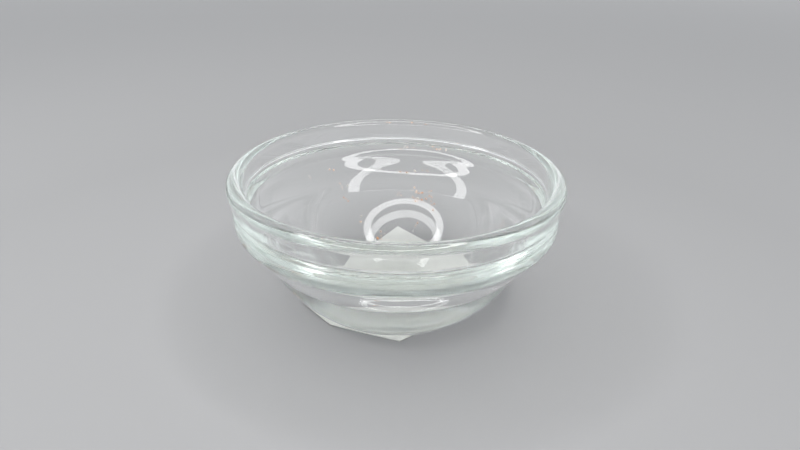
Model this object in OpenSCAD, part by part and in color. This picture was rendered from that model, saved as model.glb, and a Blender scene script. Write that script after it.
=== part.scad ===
// Small pressed glass prep bowl with a plain paper label bonded under its foot.
// The table is z = 0, the bowl's axis is the Z axis, and lengths are in millimetres.
// The glass section runs, from the table up: flat foot, round lower bowl, notch,
// sloping band, lower bead, groove, upper bead and a fully rounded rim. Inside, it runs from
// the rim down a leaning wall to the stacking ledge, and down a round hollow to a flat floor.

/* [Bowl] */
// Outer diameter over the rim
rim_d = 60; // [52:0.5:72]
// Height of the glass from its foot to the top of the rim
bowl_h = 28; // [24:0.25:33]
// Thickness of the rounded rim
rim_t = 2.8; // [2.4:0.1:3.4]
// Thickness of the glass in the middle of the base
base_t = 3.9; // [3.3:0.1:4.5]

/* [Outside of the bowl] */
// Radius of the flat foot, measured to the corner that its edge rounds off
foot_r = 10.55; // [9:0.05:12]
// Radius of the foot's rounded edge
foot_edge_r = 0.6; // [0.3:0.1:1]
// Radius of the round lower bowl's side
lower_bowl_r = 26.4; // [22:0.2:31]
// Height of the notch over the lower bowl below the rim
notch_drop = 14.57; // [13:0.01:16]
// Angle of the sloping band from the table
band_slope = 50; // [44:1:56]
// Radius of the hollow where the lower bowl meets the sloping band
notch_r = 0.9; // [0.4:0.1:1.4]
// Height of the lower bead's widest line below the rim
lower_bead_drop = 7.6; // [7:0.1:8.2]
// Radius of the lower bead's lower corner
lower_bead_r = 2.3; // [1.6:0.1:3]
// How far the lower bead stands back from the rim's outer face
lower_bead_back = 0.75; // [0.5:0.05:1.1]
// Inward lean of the upper bead's face, in degrees
upper_bead_lean = 11.5; // [8:0.5:14]
// Height of the groove between the beads below the rim
groove_drop = 4.9; // [4.6:0.1:5.3]
// Radius of the groove
groove_r = 0.7; // [0.5:0.05:0.9]
// How far the groove's lowest line lies inside the rim's outer face
groove_depth = 1.15; // [0.95:0.05:1.35]
// Radius of the groove's two edges
groove_edge_r = 0.4; // [0.2:0.05:0.6]

/* [Inside of the bowl] */
// Inward lean of the inner wall under the rim, in degrees
wall_lean = 13; // [10:0.5:16]
// Depth below the rim at which the inner wall starts to curve into the stacking ledge
ledge_drop = 4.5; // [4:0.1:5]
// Radius of the hollow corner between the inner wall and the ledge
ledge_corner_r = 4.5; // [3.6:0.1:5.4]
// Radius of the ledge's broad inner edge, which rolls over into the hollow
ledge_edge_r = 8; // [6.5:0.5:9.5]
// Radius of the flat middle of the floor, where the round hollow ends
floor_r = 2.7; // [1.5:0.1:4]
// Thickness of the glass between the hollow and the corner of the notch
notch_wall_t = 3.8; // [3.2:0.1:4.4]

/* [Label] */
// Thickness of the paper
label_t = 0.12; // [0.08:0.01:0.3]
// Thickness of the adhesive film
adhesive_t = 0.05; // [0.03:0.01:0.1]
// Width of the label
label_w = 33.8; // [30:0.2:38]
// Depth of the label
label_d = 32.4; // [30:0.2:36]
// Turn of the label on the table, in degrees
label_turn = 41; // [0:1:90]
// Distance from the bowl's axis to the label's middle, across its width
label_shift_w = 2.4; // [0:0.1:3]
// Distance from the bowl's axis to the label's middle, along its depth
label_shift_d = 5.6; // [4:0.1:7]
// Length cut off the near corner, along the label's width
near_cut_w = 6.7; // [4:0.1:8]
// Length cut off the near corner, along the label's depth
near_cut_d = 12; // [8:0.1:13]
// Length that the slanting far edge takes off the label's short side
far_cut_d = 11; // [8:0.1:13]

/* [Hidden] */
$fn = 192;
// Longest straight step along a rounded stretch of the section, and the widest turn in one
longest_step = 1.2;
widest_turn = 12;

rim_r = rim_d / 2;
rim_edge_r = rim_t / 2;
foot_z = label_t + adhesive_t;
rim_z = foot_z + bowl_h;

// Point on the plane of the section: radius and height
function polar(centre, r, angle) = centre + r * [cos(angle), sin(angle)];

// Points of an arc from one angle to another
function arc(centre, r, from, to) =
    let (
        turn = abs(to - from),
        steps = ceil(max(turn / widest_turn, r * turn * PI / 180 / longest_step))
    )
    [for (i = [0 : steps]) polar(centre, r, from + (to - from) * i / steps)];

// Angle of the line from one point to another
function bearing(from, to) = atan2(to[1] - from[1], to[0] - from[0]);

// Point of a line at a given distance from a centre; side 1 picks the further one along it
function at_distance(point, angle, centre, distance, side) =
    let (
        along = [cos(angle), sin(angle)],
        gap = point - centre,
        middle = -(gap * along),
        half = sqrt(pow(middle, 2) - gap * gap + pow(distance, 2))
    )
    point + (middle + side * half) * along;

// Centre of the arc that bulges from one point up to another
function arc_centre(low, high, r) =
    let (
        chord = high - low,
        rise = sqrt(pow(r / norm(chord), 2) - 1 / 4)
    )
    (low + high) / 2 + rise * [-chord[1], chord[0]];

// Point at given distances from two centres, on the right of the way from one to the other
function meeting(one, one_reach, other, other_reach) =
    let (
        way = other - one,
        run = (pow(one_reach, 2) - pow(other_reach, 2) + way * way) / (2 * norm(way)),
        side = sqrt(pow(one_reach, 2) - pow(run, 2))
    )
    one + (run * way + side * [way[1], -way[0]]) / norm(way);

// Directions that stand square to the two leaning outside faces
band_out = band_slope - 90;
upper_bead_out = -upper_bead_lean;

// Centres of the rim, the groove and the lower bead
rim_centre = [rim_r - rim_edge_r, rim_z - rim_edge_r];
groove_centre = [rim_r - groove_depth + groove_r, rim_z - groove_drop];
lower_bead_face_r = rim_r - lower_bead_back;
lower_bead_centre = [lower_bead_face_r - lower_bead_r, rim_z - lower_bead_drop];

// The notch's corner ends the sloping band, and the lower bowl bulges from the foot up to it
band_top = polar(lower_bead_centre, lower_bead_r, band_out);
notch_z = rim_z - notch_drop;
notch_corner = [band_top[0] - (band_top[1] - notch_z) / tan(band_slope), notch_z];
lower_bowl_centre = arc_centre([foot_r, foot_z], notch_corner, lower_bowl_r);

foot_edge_z = foot_z + foot_edge_r;
foot_edge_centre = at_distance(
    [lower_bowl_centre[0], foot_edge_z], 0,
    lower_bowl_centre, lower_bowl_r - foot_edge_r, 1);
foot_edge_end = bearing(lower_bowl_centre, foot_edge_centre);

notch_centre = at_distance(
    polar(lower_bead_centre, lower_bead_r + notch_r, band_out), band_slope,
    lower_bowl_centre, lower_bowl_r + notch_r, 1);
notch_start = bearing(lower_bowl_centre, notch_centre);

// Each edge of the groove is tangent to the face beside it and to the groove
lower_edge_centre = at_distance(
    [lower_bead_face_r - groove_edge_r, rim_z], 90,
    groove_centre, groove_r + groove_edge_r, -1);
upper_edge_centre = at_distance(
    polar(rim_centre, rim_edge_r - groove_edge_r, upper_bead_out), 90 + upper_bead_out,
    groove_centre, groove_r + groove_edge_r, 1);

outside = concat(
    arc(foot_edge_centre, foot_edge_r, -90, foot_edge_end),
    arc(lower_bowl_centre, lower_bowl_r, foot_edge_end, notch_start),
    arc(notch_centre, notch_r, notch_start + 180, band_out + 180),
    arc(lower_bead_centre, lower_bead_r, band_out, 0),
    arc(lower_edge_centre, groove_edge_r, 0, bearing(lower_edge_centre, groove_centre)),
    arc(groove_centre, groove_r,
        360 + bearing(groove_centre, lower_edge_centre),
        bearing(groove_centre, upper_edge_centre)),
    arc(upper_edge_centre, groove_edge_r, bearing(upper_edge_centre, groove_centre), upper_bead_out)
);

rim = arc(rim_centre, rim_edge_r, upper_bead_out, 180 - wall_lean);

// The inside runs from the rim down to the flat middle of the floor
floor_z = foot_z + base_t;
notch_rise = notch_z - floor_z;
notch_run = notch_corner[0] - floor_r;

// The hollow is tangent to the floor and passes the notch's corner at the glass's thickness
hollow_r =
    (pow(notch_run, 2) + pow(notch_rise, 2) - pow(notch_wall_t, 2))
    / (2 * (notch_rise + notch_wall_t));
hollow_centre = [floor_r, floor_z + hollow_r];

// The inner wall ends where the ledge's hollow corner starts
wall_start = polar(rim_centre, rim_edge_r, 180 - wall_lean);
ledge_z = rim_z - ledge_drop;
wall_end = [wall_start[0] - (wall_start[1] - ledge_z) * tan(wall_lean), ledge_z];
corner_centre = polar(wall_end, ledge_corner_r, 180 - wall_lean);

// The ledge's edge is tangent to its hollow corner and to the round hollow below it
ledge_edge_centre = meeting(
    hollow_centre, hollow_r + ledge_edge_r,
    corner_centre, ledge_corner_r + ledge_edge_r);
corner_end = bearing(corner_centre, ledge_edge_centre);
hollow_start = bearing(hollow_centre, ledge_edge_centre);

inside = concat(
    arc(corner_centre, ledge_corner_r, -wall_lean, corner_end),
    arc(ledge_edge_centre, ledge_edge_r, 180 + corner_end, 180 + hollow_start),
    arc(hollow_centre, hollow_r, hollow_start, -90)
);

// Half section of the glass
module bowl_section() {
    polygon(concat([[0, foot_z]], outside, rim, inside, [[0, floor_z]]));
}

// The clear glass body, pressed in one piece
module glass_bowl() {
    color([0.86, 0.93, 0.9, 0.45])
        rotate_extrude()
            bowl_section();
}

// Outline of the label: a rectangle with its near corner and one long strip cut away
module label_outline() {
    low_w = label_shift_w - label_w / 2;
    high_w = label_shift_w + label_w / 2;
    low_d = label_shift_d - label_d / 2;
    high_d = label_shift_d + label_d / 2;
    rotate(label_turn)
        polygon([
            [low_w + near_cut_w, low_d],
            [high_w, low_d],
            [high_w, high_d],
            [low_w, high_d - far_cut_d],
            [low_w, low_d + near_cut_d]
        ]);
}

// The film that bonds the paper to the foot
module label_adhesive() {
    color([0.93, 0.9, 0.8, 0.7])
        translate([0, 0, label_t])
            linear_extrude(adhesive_t)
                label_outline();
}

// The paper label, which lies on the table
module base_label() {
    color([0.95, 0.95, 0.93])
        linear_extrude(label_t)
            label_outline();
}

glass_bowl();
label_adhesive();
base_label();
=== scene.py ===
import math
import random

import bmesh
import bpy
from mathutils import Euler, Matrix, Vector


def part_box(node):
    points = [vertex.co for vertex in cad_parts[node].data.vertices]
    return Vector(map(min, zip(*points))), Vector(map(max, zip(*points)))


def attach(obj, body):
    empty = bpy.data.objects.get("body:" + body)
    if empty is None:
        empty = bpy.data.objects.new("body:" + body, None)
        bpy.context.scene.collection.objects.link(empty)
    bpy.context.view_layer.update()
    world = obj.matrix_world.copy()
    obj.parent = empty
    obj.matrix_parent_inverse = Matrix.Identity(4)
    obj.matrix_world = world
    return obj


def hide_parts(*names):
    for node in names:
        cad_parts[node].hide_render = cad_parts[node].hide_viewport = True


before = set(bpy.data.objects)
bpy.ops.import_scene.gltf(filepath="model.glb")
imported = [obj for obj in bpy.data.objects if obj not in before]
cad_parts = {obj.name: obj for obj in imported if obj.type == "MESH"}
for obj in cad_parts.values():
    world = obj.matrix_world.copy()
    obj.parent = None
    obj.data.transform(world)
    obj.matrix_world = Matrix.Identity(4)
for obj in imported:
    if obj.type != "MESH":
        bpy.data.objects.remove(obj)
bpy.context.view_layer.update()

# A small pressed glass prep bowl on a paper label. Sizes are in millimetres until MM turns
# them into metres, and the frame gives the places of the foot, the rim and the label.
MM = 0.001
glass_low, glass_high = (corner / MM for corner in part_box("glass_bowl"))
film_low, film_high = (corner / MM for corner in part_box("label_adhesive"))
paper_low, paper_high = (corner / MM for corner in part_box("base_label"))

# Glass section: the places of the rim and the foot
RIM_R = glass_high.x
RIM_Z = glass_high.z
FOOT_Z = glass_low.z

# Glass section: the outside
RIM_T = 2.8
RIM_EDGE_R = RIM_T / 2
BASE_T = 3.9
FOOT_R = 10.55
FOOT_EDGE_R = 0.6
LOWER_BOWL_R = 26.4
NOTCH_DROP = 14.57
BAND_SLOPE = 50
NOTCH_R = 0.9
LOWER_BEAD_DROP = 7.6
LOWER_BEAD_R = 2.3
LOWER_BEAD_BACK = 0.75
UPPER_BEAD_LEAN = 11.5
GROOVE_DROP = 4.9
GROOVE_R = 0.7
GROOVE_DEPTH = 1.15
GROOVE_EDGE_R = 0.4

# Glass section: the inside
WALL_LEAN = 13
LEDGE_DROP = 4.5
LEDGE_CORNER_R = 4.5
LEDGE_EDGE_R = 8
FLOOR_R = 2.7
NOTCH_WALL_T = 3.8

# Fineness of the glass mesh: longest step and widest turn along the section, and steps around.
# Points of the section that lie no further apart than the least step count as one.
LONGEST_STEP = 0.5
WIDEST_TURN = 4
BOWL_SEGMENTS = 256
LEAST_STEP = 0.001

# Label outline, as a rectangle with two corners cut, turned on the table
LABEL_W = 33.8
LABEL_D = 32.4
LABEL_TURN = math.radians(41)
LABEL_SHIFT_W = 2.4
LABEL_SHIFT_D = 5.6
NEAR_CUT_W = 6.7
NEAR_CUT_D = 12
FAR_CUT_D = 11
LABEL_CELL = 1.2
# The film's top reaches this far into the foot, so that no air lies between them
BOND_DEPTH = 0.008
# The paper's free corners rise this much at this distance from the foot, along this power
CURL_RISE = 0.6
CURL_REACH = 9
CURL_POWER = 1.5


def along(angle):
    """Unit vector of an angle in degrees, on the plane of the section: radius and height."""
    return Vector((math.cos(math.radians(angle)), math.sin(math.radians(angle))))


def polar(centre, r, angle):
    """Point at a given distance and angle from a centre."""
    return centre + r * along(angle)


def bearing(start, end):
    """Angle of the line from one point to another, in degrees."""
    return math.degrees(math.atan2(end.y - start.y, end.x - start.x))


def arc(centre, r, start, end):
    """Points of an arc from one angle to another."""
    turn = abs(end - start)
    steps = math.ceil(max(turn / WIDEST_TURN, r * math.radians(turn) / LONGEST_STEP))
    return [polar(centre, r, start + (end - start) * i / steps) for i in range(steps + 1)]


def at_distance(point, angle, centre, distance, side):
    """Point of a line at a given distance from a centre; side 1 picks the further one along it."""
    gap = point - centre
    middle = -gap.dot(along(angle))
    half = math.sqrt(middle**2 - gap.dot(gap) + distance**2)
    return point + (middle + side * half) * along(angle)


def arc_centre(low, high, r):
    """Centre of the arc that bulges from one point up to another."""
    chord = high - low
    rise = math.sqrt((r / chord.length) ** 2 - 1 / 4)
    return (low + high) / 2 + rise * Vector((-chord.y, chord.x))


def meeting(one, one_reach, other, other_reach):
    """Point at given distances from two centres, on the right of the way from one to the other."""
    way = other - one
    ahead = way.normalized()
    run = (one_reach**2 - other_reach**2 + way.length_squared) / (2 * way.length)
    side = math.sqrt(one_reach**2 - run**2)
    return one + run * ahead + side * Vector((ahead.y, -ahead.x))


def glass_section():
    """The half section, from the middle of the foot round the outside, the rim and the inside."""
    band_out = BAND_SLOPE - 90
    rim_centre = Vector((RIM_R - RIM_EDGE_R, RIM_Z - RIM_EDGE_R))
    groove_centre = Vector((RIM_R - GROOVE_DEPTH + GROOVE_R, RIM_Z - GROOVE_DROP))
    bead_face_r = RIM_R - LOWER_BEAD_BACK
    bead_centre = Vector((bead_face_r - LOWER_BEAD_R, RIM_Z - LOWER_BEAD_DROP))

    # The lower bowl bulges from the foot up to the notch's corner, which ends the sloping band
    band_top = polar(bead_centre, LOWER_BEAD_R, band_out)
    notch_z = RIM_Z - NOTCH_DROP
    notch_run = (band_top.y - notch_z) / math.tan(math.radians(BAND_SLOPE))
    notch_corner = Vector((band_top.x - notch_run, notch_z))
    lower_centre = arc_centre(Vector((FOOT_R, FOOT_Z)), notch_corner, LOWER_BOWL_R)
    foot_line = Vector((lower_centre.x, FOOT_Z + FOOT_EDGE_R))
    foot_edge_centre = at_distance(foot_line, 0, lower_centre, LOWER_BOWL_R - FOOT_EDGE_R, 1)
    foot_edge_end = bearing(lower_centre, foot_edge_centre)
    notch_line = polar(bead_centre, LOWER_BEAD_R + NOTCH_R, band_out)
    notch_centre = at_distance(notch_line, BAND_SLOPE, lower_centre, LOWER_BOWL_R + NOTCH_R, 1)
    notch_start = bearing(lower_centre, notch_centre)

    # Each edge of the groove is tangent to the face beside it and to the groove
    groove_reach = GROOVE_R + GROOVE_EDGE_R
    low_line = Vector((bead_face_r - GROOVE_EDGE_R, RIM_Z))
    low_edge = at_distance(low_line, 90, groove_centre, groove_reach, -1)
    high_line = polar(rim_centre, RIM_EDGE_R - GROOVE_EDGE_R, -UPPER_BEAD_LEAN)
    high_edge = at_distance(high_line, 90 - UPPER_BEAD_LEAN, groove_centre, groove_reach, 1)

    # The hollow is tangent to the floor and passes the notch's corner at the glass's thickness
    floor_z = FOOT_Z + BASE_T
    rise = notch_z - floor_z
    run = notch_corner.x - FLOOR_R
    hollow_r = (run**2 + rise**2 - NOTCH_WALL_T**2) / (2 * (rise + NOTCH_WALL_T))
    hollow_centre = Vector((FLOOR_R, floor_z + hollow_r))

    # The ledge's edge is tangent to its hollow corner and to the round hollow below it
    wall_start = polar(rim_centre, RIM_EDGE_R, 180 - WALL_LEAN)
    ledge_z = RIM_Z - LEDGE_DROP
    wall_run = (wall_start.y - ledge_z) * math.tan(math.radians(WALL_LEAN))
    wall_end = Vector((wall_start.x - wall_run, ledge_z))
    corner_centre = wall_end + LEDGE_CORNER_R * along(180 - WALL_LEAN)
    edge_centre = meeting(hollow_centre, hollow_r + LEDGE_EDGE_R,
                          corner_centre, LEDGE_CORNER_R + LEDGE_EDGE_R)
    corner_end = bearing(corner_centre, edge_centre)
    hollow_start = bearing(hollow_centre, edge_centre)

    return [
        Vector((0, FOOT_Z)),
        *arc(foot_edge_centre, FOOT_EDGE_R, -90, foot_edge_end),
        *arc(lower_centre, LOWER_BOWL_R, foot_edge_end, notch_start),
        *arc(notch_centre, NOTCH_R, notch_start + 180, band_out + 180),
        *arc(bead_centre, LOWER_BEAD_R, band_out, 0),
        *arc(low_edge, GROOVE_EDGE_R, 0, bearing(low_edge, groove_centre)),
        *arc(groove_centre, GROOVE_R,
             360 + bearing(groove_centre, low_edge), bearing(groove_centre, high_edge)),
        *arc(high_edge, GROOVE_EDGE_R, bearing(high_edge, groove_centre), -UPPER_BEAD_LEAN),
        *arc(rim_centre, RIM_EDGE_R, -UPPER_BEAD_LEAN, 180 - WALL_LEAN),
        *arc(corner_centre, LEDGE_CORNER_R, -WALL_LEAN, corner_end),
        *arc(edge_centre, LEDGE_EDGE_R, 180 + corner_end, 180 + hollow_start),
        *arc(hollow_centre, hollow_r, hollow_start, -90),
        Vector((0, floor_z)),
    ]


def without_doubles(points):
    """The points, without those that lie on the one before them."""
    kept = points[:1]
    for point in points[1:]:
        if (point - kept[-1]).length > LEAST_STEP:
            kept.append(point)
    return kept


def new_object(name, data):
    """An object of the scene that holds a mesh or a camera."""
    holder = bpy.data.objects.new(name, data)
    bpy.context.scene.collection.objects.link(holder)
    return holder


def object_from_form(name, form):
    """An object of the scene made from a form, which is freed."""
    mesh = bpy.data.meshes.new(name)
    form.to_mesh(mesh)
    form.free()
    return new_object(name, mesh)


def lathe(name, section, segments):
    """A closed body of revolution about Z, whose section starts and ends on the axis."""
    turn = math.tau / segments
    rings = [
        [(p.x * math.cos(k * turn), p.x * math.sin(k * turn), p.y) for k in range(segments)]
        for p in section[1:-1]
    ]
    last = 1 + len(rings) * segments
    points = [(0, 0, section[0].y)] + [p for ring in rings for p in ring] + [(0, 0, section[-1].y)]
    faces = []
    for k in range(segments):
        n = (k + 1) % segments
        faces.append((0, 1 + n, 1 + k))
        faces.append((last, last - segments + k, last - segments + n))
        for ring in range(len(rings) - 1):
            low = 1 + ring * segments
            high = low + segments
            faces.append((low + k, low + n, high + n, high + k))
    mesh = bpy.data.meshes.new(name)
    mesh.from_pydata([Vector(p) * MM for p in points], [], faces)
    mesh.shade_smooth()
    return new_object(name, mesh)


def label_corners():
    """The label's five corners on the table."""
    low_w = LABEL_SHIFT_W - LABEL_W / 2
    high_w = LABEL_SHIFT_W + LABEL_W / 2
    low_d = LABEL_SHIFT_D - LABEL_D / 2
    high_d = LABEL_SHIFT_D + LABEL_D / 2
    flat = [
        (low_w + NEAR_CUT_W, low_d),
        (high_w, low_d),
        (high_w, high_d),
        (low_w, high_d - FAR_CUT_D),
        (low_w, low_d + NEAR_CUT_D),
    ]
    return [Matrix.Rotation(LABEL_TURN, 2) @ Vector(p) for p in flat]


def curl(x, y):
    """How far the paper has risen off the table beyond the foot."""
    beyond = max(0, math.hypot(x, y) - FOOT_R) / CURL_REACH
    return CURL_RISE * min(beyond, 1) ** CURL_POWER


def cut_into_cells(form):
    """Cut the faces of a flat form into small squares."""
    cells = math.ceil((LABEL_W + LABEL_D) / LABEL_CELL)
    for axis in range(2):
        normal = Vector((0, 0, 0))
        normal[axis] = 1
        for i in range(-cells, cells):
            parts = form.verts[:] + form.edges[:] + form.faces[:]
            bmesh.ops.bisect_plane(form, geom=parts, plane_co=normal * (i + 0.5) * LABEL_CELL,
                                   plane_no=normal)


def label_sheet(name, bottom, top, bond=0):
    """A thin sheet of the label's outline, cut into cells so that it can curl."""
    form = bmesh.new()
    form.faces.new([form.verts.new((p.x, p.y, top)) for p in label_corners()])
    cut_into_cells(form)
    sunk = bmesh.ops.extrude_face_region(form, geom=form.faces[:])
    for part in sunk["geom"]:
        if isinstance(part, bmesh.types.BMVert):
            part.co.z = bottom
    for vert in form.verts:
        bonded = vert.co.z == top and math.hypot(vert.co.x, vert.co.y) < FOOT_R - FOOT_EDGE_R
        vert.co.z += curl(vert.co.x, vert.co.y) + (bond if bonded else 0)
        vert.co *= MM
    bmesh.ops.recalc_face_normals(form, faces=form.faces[:])
    return object_from_form(name, form)


def shader(name):
    """A new material, its Principled shader, its node tree and a function that adds a node."""
    material = bpy.data.materials.new(name)
    material.use_nodes = True
    tree = material.node_tree

    def add(kind, values=None, **links):
        node = tree.nodes.new(kind)
        for key, value in (values or {}).items():
            if key in node.inputs:
                node.inputs[key].default_value = value
            else:
                setattr(node, key, value)
        for key, source in links.items():
            tree.links.new(source, node.inputs[key.replace("_", " ")])
        return node

    return material, tree.nodes["Principled BSDF"], tree, add


# Depth of the faint waves that the mould left in the glass
WAVE_DEPTH = 0.02


def glass_material():
    """Clear pressed glass: smooth, with faint waves from the mould, and slightly rough smears."""
    material, principled, tree, add = shader("clear_pressed_glass")
    principled.inputs["Base Color"].default_value = (1, 1, 1, 1)
    principled.inputs["Transmission Weight"].default_value = 0.97
    principled.inputs["IOR"].default_value = 1.5
    place = add("ShaderNodeTexCoord").outputs["Object"]
    smears = add("ShaderNodeTexNoise", {"Scale": 220, "Detail": 4, "Distortion": 1.5}, Vector=place)
    finish = add("ShaderNodeMapRange", {"From Min": 0.55, "From Max": 0.8, "To Max": 0.05},
                 Value=smears.outputs["Fac"])
    tree.links.new(finish.outputs["Result"], principled.inputs["Roughness"])
    waves = add("ShaderNodeTexNoise", {"Scale": 160, "Detail": 1, "Roughness": 0.4}, Vector=place)
    bump = add("ShaderNodeBump", {"Strength": 0.3, "Distance": WAVE_DEPTH * MM},
               Height=waves.outputs["Fac"])
    tree.links.new(bump.outputs["Normal"], principled.inputs["Normal"])
    volume = add("ShaderNodeVolumeAbsorption", {"Color": (0.3, 0.95, 0.6, 1), "Density": 1.8})
    tree.links.new(volume.outputs["Volume"], tree.nodes["Material Output"].inputs["Volume"])
    return material


# Where the clouds turn from one shade to the other, and how far the roughness drifts with them
CLOUD_LOW = 0.35
CLOUD_HIGH = 0.65
ROUGH_DRIFT = 0.08


def mottled(name, low, high, coat, clouds, rough, grain, grain_depth):
    """A surface whose colour drifts between two shades, with a fine grain in its relief."""
    material, principled, tree, add = shader(name)
    principled.inputs["Coat Weight"].default_value = coat
    place = add("ShaderNodeTexCoord").outputs["Object"]
    drift = add("ShaderNodeTexNoise", {"Scale": clouds, "Detail": 4}, Vector=place)
    ramp = add("ShaderNodeValToRGB", Fac=drift.outputs["Fac"])
    low_end, high_end = ramp.color_ramp.elements
    low_end.position = CLOUD_LOW
    low_end.color = low
    high_end.position = CLOUD_HIGH
    high_end.color = high
    tree.links.new(ramp.outputs["Color"], principled.inputs["Base Color"])
    finish = add("ShaderNodeMapRange", {"To Min": rough - ROUGH_DRIFT, "To Max": rough + ROUGH_DRIFT},
                 Value=drift.outputs["Fac"])
    tree.links.new(finish.outputs["Result"], principled.inputs["Roughness"])
    relief = add("ShaderNodeTexNoise", {"Scale": grain, "Detail": 3}, Vector=place)
    bump = add("ShaderNodeBump", {"Strength": 0.5, "Distance": grain_depth * MM},
               Height=relief.outputs["Fac"])
    tree.links.new(bump.outputs["Normal"], principled.inputs["Normal"])
    return material


def paper_material():
    """Matt white paper, faintly uneven."""
    return mottled("label_paper", low=(0.86, 0.87, 0.83, 1), high=(0.92, 0.92, 0.88, 1), coat=0,
                   clouds=900, rough=0.85, grain=9000, grain_depth=0.02)


def film_material():
    """Adhesive film on the paper, so thin that it shows the paper's white."""
    return mottled("adhesive_film", low=(0.87, 0.88, 0.84, 1), high=(0.93, 0.94, 0.9, 1), coat=0.4,
                   clouds=500, rough=0.35, grain=2500, grain_depth=0.01)


def fleck_material():
    """Dry flecks, partly white and partly orange; those on the rim are painted highlights."""
    return mottled("dry_flecks_and_painted_glints", low=(0.85, 0.36, 0.12, 1), high=(0.95, 0.94, 0.9, 1), coat=0.5,
                   clouds=1200, rough=0.3, grain=20000, grain_depth=0.01)


def make_bowl():
    bowl = lathe("glass_body", without_doubles(glass_section()), BOWL_SEGMENTS)
    bowl.data.materials.append(glass_material())
    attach(bowl, "root")
    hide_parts("glass_bowl")


def make_label():
    paper = label_sheet("paper_label", paper_low.z, paper_high.z)
    paper.data.materials.append(paper_material())
    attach(paper, "root")
    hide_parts("base_label")
    film = label_sheet("label_film", film_low.z, film_high.z, BOND_DEPTH)
    film.data.materials.append(film_material())
    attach(film, "root")
    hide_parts("label_adhesive")


# Groups of dry flecks on the inside of the glass, the last two on the rim as painted highlights:
# the angle from the far side towards the right, the height over the table, how far each may be off,
# and the number of flecks
FLECK_GROUPS = [
    (-31, 15.9, 3, 2.2, 7),
    (2, 14.0, 2, 0.6, 3),
    (15, 14.6, 7, 1.4, 26),
    (24, 12.9, 2, 0.8, 3),
    (-26, 9.9, 2, 1.2, 3),
    (-12, 7.6, 5, 0.7, 8),
    (15, 9.0, 2, 1.0, 3),
    (5, 22.8, 5, 0.4, 5),
    (20, 23.1, 4, 0.4, 8),
    (10, 19.0, 10, 0.5, 8),
    (-42, 20.2, 8, 0.4, 4),
    # Painted highlights: white and orange flecks on the rim that stand in for small glints of light
    # on it
    (0, 27.8, 14, 0.1, 4),
    (167, 27.6, 12, 0.1, 3),
]
FLECK_R = 0.17
# Shares of a fleck's radius: the smallest and largest fleck, and the flattest one
FLECK_LEAST_SHARE = 0.6
FLECK_MOST_SHARE = 1.4
FLECK_FLAT_SHARE = 0.6
FLECK_SEED = 7


def inside_point(section, height):
    """Where the inside of the glass has a given height, from the rim's top down to the floor."""
    top = max(range(len(section)), key=lambda i: section[i].y)
    for upper, lower in zip(section[top:], section[top + 1:]):
        if lower.y <= height <= upper.y and upper.y > lower.y:
            return lower.lerp(upper, (height - lower.y) / (upper.y - lower.y))


def make_flecks():
    """Small hard flecks that stick to the glass, each sunk halfway into it; those on the rim are
    painted highlights.
    """
    draw = random.Random(FLECK_SEED)
    section = glass_section()
    form = bmesh.new()
    for angle, height, angle_off, height_off, count in FLECK_GROUPS:
        for _ in range(count):
            turn = math.radians(angle + draw.uniform(-1, 1) * angle_off)
            point = inside_point(section, height + draw.uniform(-1, 1) * height_off)
            place = Vector((point.x * math.sin(turn), point.x * math.cos(turn), point.y))
            tilt = Euler([draw.uniform(0, math.tau) for _ in range(3)]).to_matrix().to_4x4()
            size = FLECK_R * draw.uniform(FLECK_LEAST_SHARE, FLECK_MOST_SHARE)
            flat = size * draw.uniform(FLECK_FLAT_SHARE, 1)
            shape = Matrix.Translation(place) @ tilt @ Matrix.Diagonal((size, flat, size, 1))
            bmesh.ops.create_icosphere(form, subdivisions=1, radius=1, matrix=shape)
    bmesh.ops.scale(form, vec=Vector((MM, MM, MM)), verts=form.verts)
    flecks = object_from_form("dry_flecks_and_painted_glints", form)
    flecks.data.materials.append(fleck_material())
    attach(flecks, "root")


# Camera, as the photograph was taken: the focal length is in its pixels
PHOTO_W = 800
FOCAL = 690
TILT = math.radians(26.4)
ROLL = math.radians(1.1)
# The rim's centre as the camera sees it: right, down and ahead
RIM_SEEN = Vector((-0.74, -10.03, 123.5))
# Width of the camera's sensor, and the distance from which it sees things
SENSOR_W = 36
NEAREST_SEEN = 1


def make_camera():
    data = bpy.data.cameras.new("camera")
    data.sensor_width = SENSOR_W
    data.lens = SENSOR_W * FOCAL / PHOTO_W
    data.clip_start = NEAREST_SEEN * MM
    camera = new_object("camera", data)
    right = Vector((1, 0, 0))
    down = Vector((0, -math.sin(TILT), -math.cos(TILT)))
    ahead = Vector((0, math.cos(TILT), -math.sin(TILT)))
    rim_centre = Vector((0, 0, RIM_Z))
    place = rim_centre - (right * RIM_SEEN.x + down * RIM_SEEN.y + ahead * RIM_SEEN.z)
    turn = Matrix((right, -down, -ahead)).transposed() @ Matrix.Rotation(ROLL, 3, "Z")
    camera.matrix_world = Matrix.Translation(place * MM) @ turn.to_4x4()
    bpy.context.scene.camera = camera


# Floor: half its side, and the distances from the bowl's axis between which its painted paling grows
FLOOR_HALF = 2000
FLOOR_NEAR_R = 100
FLOOR_FAR_R = 600
# The floor lies just under the label, so that their faces don't meet
FLOOR_SINK = 0.02
# The floor's colour is painted paler with distance, as painted light for its far part, which the lamp
# over the bowl lights less
FLOOR_NEAR = (0.4, 0.4, 0.405, 1)
FLOOR_FAR_PAINTED_LIGHT = (0.8, 0.8, 0.81, 1)
FLOOR_ROUGH = 0.9


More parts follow.
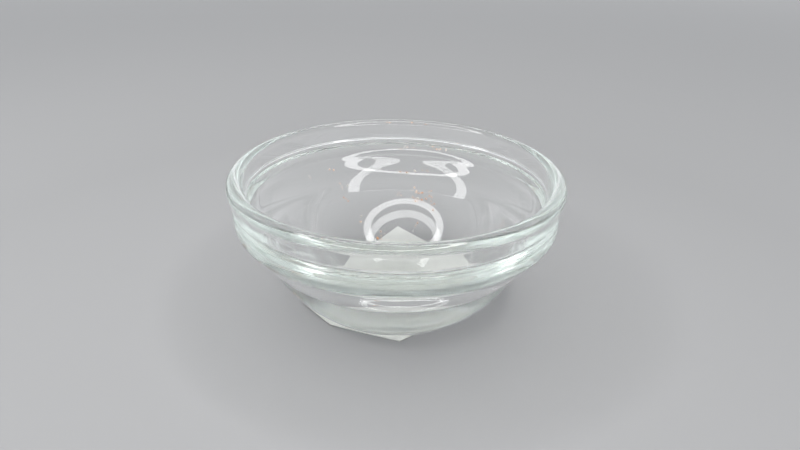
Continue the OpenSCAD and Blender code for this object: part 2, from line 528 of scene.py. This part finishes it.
def floor_material():
    """A matt grey, painted paler with the distance from the bowl as painted light for the far floor,
    which the lamp lights less.
    """
    material, principled, tree, add = shader("floor")
    place = add("ShaderNodeTexCoord").outputs["Object"]
    distance = add("ShaderNodeVectorMath", {"operation": "LENGTH"}, Vector=place)
    reach = {"From Min": FLOOR_NEAR_R * MM, "From Max": FLOOR_FAR_R * MM}
    # Painted light: the floor's colour pales from its near shade to its far shade with the distance
    # from the bowl
    painted_paling = add("ShaderNodeMapRange", reach, Value=distance.outputs["Value"])
    ramp = add("ShaderNodeValToRGB", Fac=painted_paling.outputs["Result"])
    near_end, far_end = ramp.color_ramp.elements
    near_end.color = FLOOR_NEAR
    far_end.color = FLOOR_FAR_PAINTED_LIGHT
    tree.links.new(ramp.outputs["Color"], principled.inputs["Base Color"])
    principled.inputs["Roughness"].default_value = FLOOR_ROUGH
    return material


def make_floor():
    corners = [(-1, -1), (1, -1), (1, 1), (-1, 1)]
    points = [Vector((x * FLOOR_HALF, y * FLOOR_HALF, -FLOOR_SINK)) * MM for x, y in corners]
    mesh = bpy.data.meshes.new("floor")
    mesh.from_pydata(points, [], [(0, 1, 2, 3)])
    mesh.materials.append(floor_material())
    floor = new_object("floor", mesh)


# Ring lamp over the bowl, which faces the rim: its middle is measured from the rim's middle
RING_CENTRE = Vector((-25, -50, 195))
RING_IN_R = 112
RING_OUT_R = 145
RING_SEGMENTS = 128
RING_STRENGTH = 8


def lamp_material():
    """An even white glow."""
    material = bpy.data.materials.new("ring_lamp")
    material.use_nodes = True
    tree = material.node_tree
    tree.nodes.clear()
    glow = tree.nodes.new("ShaderNodeEmission")
    glow.inputs["Strength"].default_value = RING_STRENGTH
    end = tree.nodes.new("ShaderNodeOutputMaterial")
    tree.links.new(glow.outputs["Emission"], end.inputs["Surface"])
    return material


def make_ring_lamp():
    points, faces = [], []
    for k in range(RING_SEGMENTS):
        spoke = Vector((math.cos(k * math.tau / RING_SEGMENTS),
                        math.sin(k * math.tau / RING_SEGMENTS), 0))
        points += [spoke * RING_IN_R * MM, spoke * RING_OUT_R * MM]
        n = (k + 1) % RING_SEGMENTS
        faces.append((2 * k, 2 * n, 2 * n + 1, 2 * k + 1))
    mesh = bpy.data.meshes.new("ring_lamp")
    mesh.from_pydata(points, [], faces)
    mesh.materials.append(lamp_material())
    lamp = new_object("ring_lamp", mesh)
    lamp.location = (RING_CENTRE + Vector((0, 0, RIM_Z))) * MM
    lamp.rotation_euler = RING_CENTRE.to_track_quat("Z", "Y").to_euler()
    lamp.visible_camera = False


# The room's brightness at the horizon and overhead, and the heights between which it fades
SKY_LOW = 1.2
SKY_HIGH = 0.25
SKY_FADE_FROM = 0.25
SKY_FADE_TO = 0.85
SKY_COLOUR = (0.96, 0.98, 1, 1)


def make_world():
    world = bpy.data.worlds.new("studio")
    bpy.context.scene.world = world
    world.use_nodes = True
    tree = world.node_tree
    background = tree.nodes["Background"]
    place = tree.nodes.new("ShaderNodeTexCoord")
    split = tree.nodes.new("ShaderNodeSeparateXYZ")
    tree.links.new(place.outputs["Generated"], split.inputs["Vector"])
    fade = tree.nodes.new("ShaderNodeMapRange")
    fade.interpolation_type = "SMOOTHSTEP"
    fade.inputs["From Min"].default_value = SKY_FADE_FROM
    fade.inputs["From Max"].default_value = SKY_FADE_TO
    fade.inputs["To Min"].default_value = SKY_LOW
    fade.inputs["To Max"].default_value = SKY_HIGH
    tree.links.new(split.outputs["Z"], fade.inputs["Value"])
    tree.links.new(fade.outputs["Result"], background.inputs["Strength"])
    background.inputs["Color"].default_value = SKY_COLOUR


# Light runs round inside the rim many times before it leaves the glass
LIGHT_BOUNCES = 40


def allow_long_light_paths():
    cycles = bpy.context.scene.cycles
    cycles.max_bounces = LIGHT_BOUNCES
    cycles.transmission_bounces = LIGHT_BOUNCES
    cycles.glossy_bounces = LIGHT_BOUNCES


make_camera()
make_bowl()
make_label()
make_flecks()
make_floor()
make_ring_lamp()
make_world()
allow_long_light_paths()
bpy.context.scene.view_settings.view_transform = "Standard"
